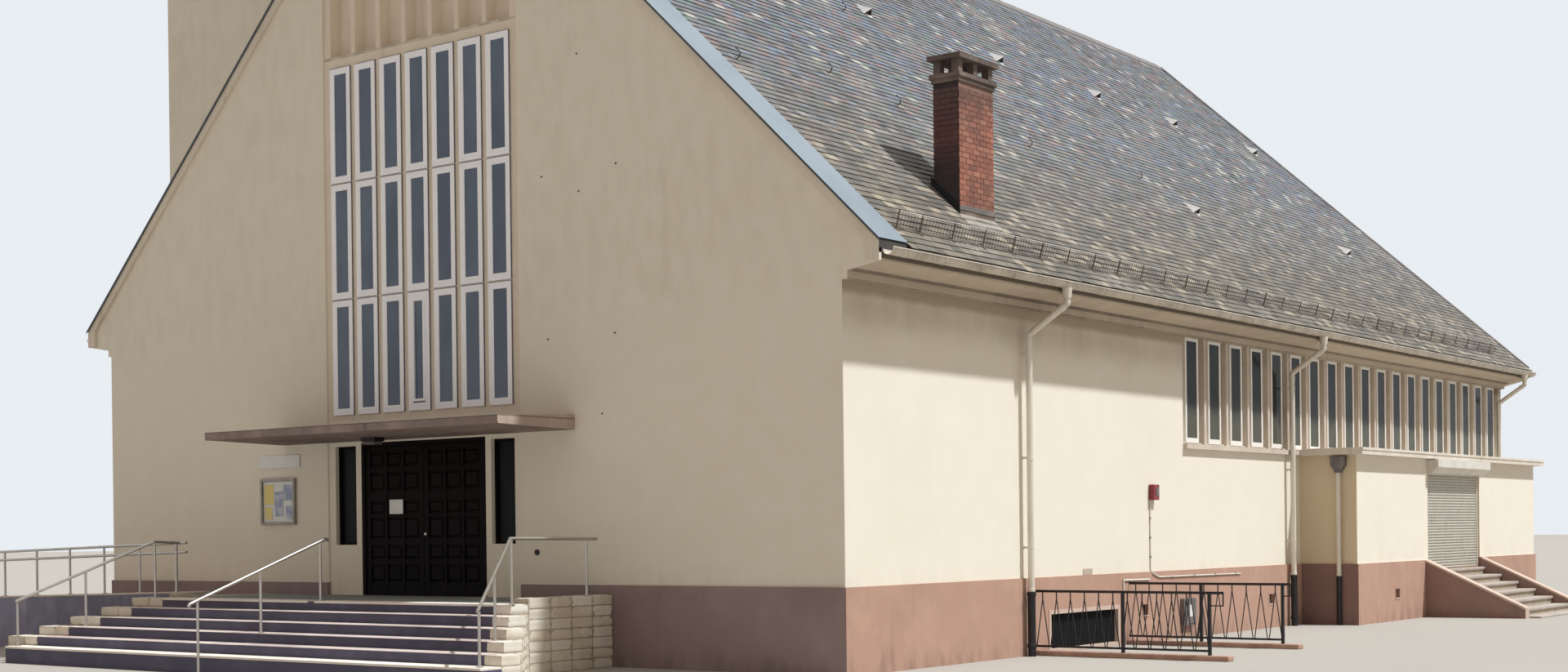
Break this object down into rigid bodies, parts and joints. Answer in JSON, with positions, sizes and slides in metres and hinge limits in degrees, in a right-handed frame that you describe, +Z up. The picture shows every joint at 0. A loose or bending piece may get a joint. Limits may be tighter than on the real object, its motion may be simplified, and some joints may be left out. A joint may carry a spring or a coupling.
{
  "type": "modern church building",
  "caption": "Long hall church with a steep slate roof, gabled front with a tall window group, canopy, double door, splayed steps, ramp, low side annex and square bell tower.",
  "frame": {"origin": "on the ground, under the middle of the outer face of the front wall, where the nave axis crosses it", "axes": "+X to the right as seen from the front (the annex side), +Y from the front gable to the rear end along the nave, +Z up"},
  "size_m": [23.288, 36.2595, 21.85],
  "materials": {
    "render": "painted mineral render, warm cream, fine grain, matt",
    "plinth": "coarse painted render, dusty pink-brown, matt",
    "concrete": "cast concrete, painted cream-grey, weathered",
    "pale_concrete": "cast concrete, pale, lightly worn",
    "slate": "natural slate, mixed grey, dull",
    "zinc": "folded zinc flashing, blue-grey, satin",
    "gutter_metal": "painted sheet metal, cream, satin",
    "brick": "red-brown clay brick, matt",
    "granite": "rough pale granite blocks",
    "step_stone": "dark blue-grey stone slabs, honed",
    "stainless": "brushed stainless tube",
    "black_iron": "black painted wrought iron, semi-matt",
    "dark_wood": "dark stained carved wood, semi-matt",
    "glazing": "blue-grey patterned glass",
    "shutter_metal": "ribbed roller curtain, pale grey, satin"
  },
  "bodies": {
    "building": {"front_wall_right": "render", "front_wall_left": "render", "portal_wall_right": "render", "portal_wall_left": "render", "portal_head": "render", "side_wall_right": "render", "side_wall_left": "render", "rear_wall": "render", "annex_walls": "render", "tower_shaft": "render", "plinth_front_right": "plinth", "plinth_front_left": "plinth", "plinth_right": "plinth", "plinth_left": "plinth", "plinth_rear": "plinth", "door_sill_wall": "concrete", "floor_slab": "concrete", "front_window_lattice": "concrete", "front_fluted_panel": "concrete", "cornice": "concrete", "cornice_front_left": "concrete", "chimney_cap": "concrete", "canopy": "concrete", "annex_roof": "concrete", "tower_cap": "concrete", "side_mullions_right": "pale_concrete", "side_mullions_left": "pale_concrete", "access_ramp": "pale_concrete", "annex_stair": "pale_concrete", "roof_right": "slate", "roof_left": "slate", "roof_rear": "slate", "ridge_cap": "slate", "verge_strip": "zinc", "gutter": "gutter_metal", "gutter_front_left": "gutter_metal", "downpipe_front": "gutter_metal", "downpipe_middle": "gutter_metal", "downpipe_rear": "gutter_metal", "annex_downpipe": "gutter_metal", "chimney_shaft": "brick", "step_cheek_right": "granite", "step_cheek_left": "granite", "front_steps": "step_stone", "handrail_centre": "stainless", "handrail_right": "stainless", "handrail_left": "stainless", "ramp_railing": "stainless", "basement_railing_near": "black_iron", "basement_railing_far": "black_iron", "door_frame": "dark_wood", "front_window_glass": "glazing", "sidelight_glass_right": "glazing", "sidelight_glass_left": "glazing", "side_glass_right": "glazing", "side_glass_left": "glazing", "roller_shutter": "shutter_metal"},
    "leaf_right": {"door_leaf_right": "dark_wood"},
    "leaf_left": {"door_leaf_left": "dark_wood"}
  },
  "joints": [
    {"name": "leaf_right_hinge", "type": "hinge", "parent": "building", "child": "leaf_right", "pos_m": [1.24, 0.129, 2], "axis": [0, 0, -1], "range_deg": [0, 90]},
    {"name": "leaf_left_hinge", "type": "hinge", "parent": "building", "child": "leaf_left", "pos_m": [-1.24, 0.129, 2], "axis": [0, 0, 1], "range_deg": [0, 90]}
  ]
}
